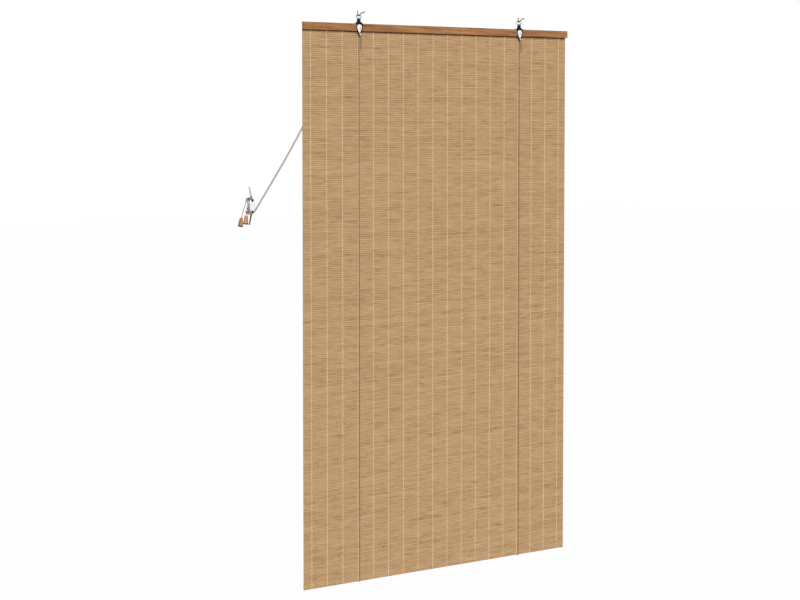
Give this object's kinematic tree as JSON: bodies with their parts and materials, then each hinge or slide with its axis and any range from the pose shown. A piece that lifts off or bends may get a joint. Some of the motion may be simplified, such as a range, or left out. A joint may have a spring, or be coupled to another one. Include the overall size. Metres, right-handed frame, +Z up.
{
  "type": "bamboo roll-up blind",
  "caption": "Reed mat blind on a wooden head rail, hung by swivel hooks, rolled up by lift cords over pulleys, with pull cords on a wall cleat and wooden tassels.",
  "frame": {"origin": "midway between the seats of the two hooks, where the blind hangs", "axes": "+X along the rail to the viewer's right, +Y towards the wall, +Z up"},
  "size_m": [1.207, 0.045, 1.6377],
  "materials": {
    "rail_wood": "planed, stained reddish brown",
    "bamboo": "natural bamboo, satin",
    "thread": "twisted cotton",
    "black_steel": "black, satin",
    "nickel": "bright nickel plate",
    "steel": "zinc plated",
    "wheel_plastic": "natural nylon",
    "cord": "braided cotton",
    "tassel_wood": "turned, lacquered",
    "cleat_chrome": "polished casting",
    "dark_screw": "blackened"
  },
  "bodies": {
    "blind": {"headrail": "rail_wood", "bamboo_mat": "bamboo", "warp_threads": "thread", "left_strap": "black_steel", "right_strap": "black_steel", "left_bush": "black_steel", "right_bush": "black_steel", "left_guard": "black_steel", "right_guard": "black_steel", "left_cover": "nickel", "right_cover": "nickel", "left_cover_screw": "nickel", "right_cover_screw": "nickel", "left_axle": "steel", "right_axle": "steel", "headrail_staples": "steel", "left_lift_cord": "cord", "right_lift_cord": "cord", "right_cross_cord": "cord", "left_pull_cord": "cord", "right_pull_cord": "cord", "left_lift_knot": "cord", "right_lift_knot": "cord", "left_tassel_knot": "cord", "right_tassel_knot": "cord", "left_tassel": "tassel_wood", "right_tassel": "tassel_wood", "cord_cleat": "cleat_chrome", "cleat_screws": "dark_screw"},
    "batten": {"bottom_batten": "bamboo"},
    "left_front_wheel": {"left_front_sheave": "wheel_plastic"},
    "left_rear_wheel": {"left_rear_sheave": "wheel_plastic"},
    "right_wheel": {"right_sheave": "wheel_plastic"},
    "left_swivel": {"left_eye": "nickel", "left_hook": "nickel"},
    "right_swivel": {"right_eye": "nickel", "right_hook": "nickel"}
  },
  "joints": [
    {"name": "raise", "type": "slide", "parent": "blind", "child": "batten", "axis": [0, 0, 1], "range_m": [0, 1.4], "deforming": ["bamboo_mat", "warp_threads", "left_lift_cord", "right_lift_cord"]},
    {"name": "left_front_wheel_spin", "type": "hinge", "parent": "blind", "child": "left_front_wheel", "pos_m": [-0.30433, 0.013, -0.0335], "axis": [0, 1, 0], "continuous": true},
    {"name": "left_rear_wheel_spin", "type": "hinge", "parent": "blind", "child": "left_rear_wheel", "pos_m": [-0.30433, 0.0183, -0.0335], "axis": [0, 1, 0], "continuous": true},
    {"name": "right_wheel_spin", "type": "hinge", "parent": "blind", "child": "right_wheel", "pos_m": [0.30433, 0.013, -0.0335], "axis": [0, 1, 0], "continuous": true},
    {"name": "left_eye_swivel", "type": "hinge", "parent": "blind", "child": "left_swivel", "pos_m": [-0.30433, 0, -0.0165], "axis": [0, 0, 1], "continuous": true},
    {"name": "right_eye_swivel", "type": "hinge", "parent": "blind", "child": "right_swivel", "pos_m": [0.30433, 0, -0.0165], "axis": [0, 0, 1], "continuous": true}
  ],
  "couplings": [
    {"joint": "left_front_wheel_spin", "follows": "raise", "rad_per_m": -240.96},
    {"joint": "left_rear_wheel_spin", "follows": "raise", "rad_per_m": -240.96},
    {"joint": "right_wheel_spin", "follows": "raise", "rad_per_m": -240.96}
  ]
}
